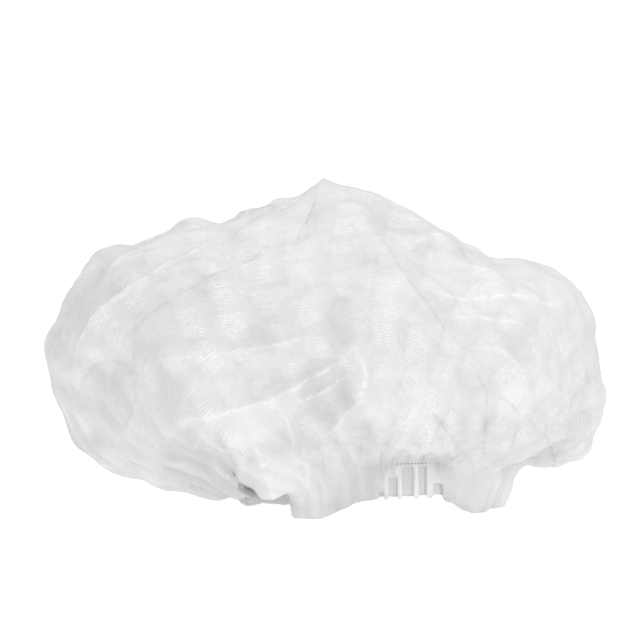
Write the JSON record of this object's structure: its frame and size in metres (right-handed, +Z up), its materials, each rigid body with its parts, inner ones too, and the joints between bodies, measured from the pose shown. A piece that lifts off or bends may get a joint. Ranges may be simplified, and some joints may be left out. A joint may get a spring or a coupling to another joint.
{
  "type": "disposable hair cover cap",
  "caption": "Soft tent-shaped hair cover of thin nonwoven cloth, gathered on an oval elastic band, hollow and open below, standing on its hem.",
  "frame": {"origin": "middle of the cap's plan box, on the surface that it stands on", "axes": "+Z up through the peak; +X to the right of someone who looks at the front; the front, with the window in its hem, is on the -Y side"},
  "size_m": [0.2524, 0.1936, 0.1485],
  "materials": {
    "nonwoven": "thin white spunbond polypropylene, slightly see-through, with a satin face and fine crosswise ribs",
    "elastic": "light grey ribbed knitted elastic, matt"
  },
  "bodies": {
    "root": {"crown": "nonwoven", "elastic_band": "elastic"}
  },
  "joints": []
}
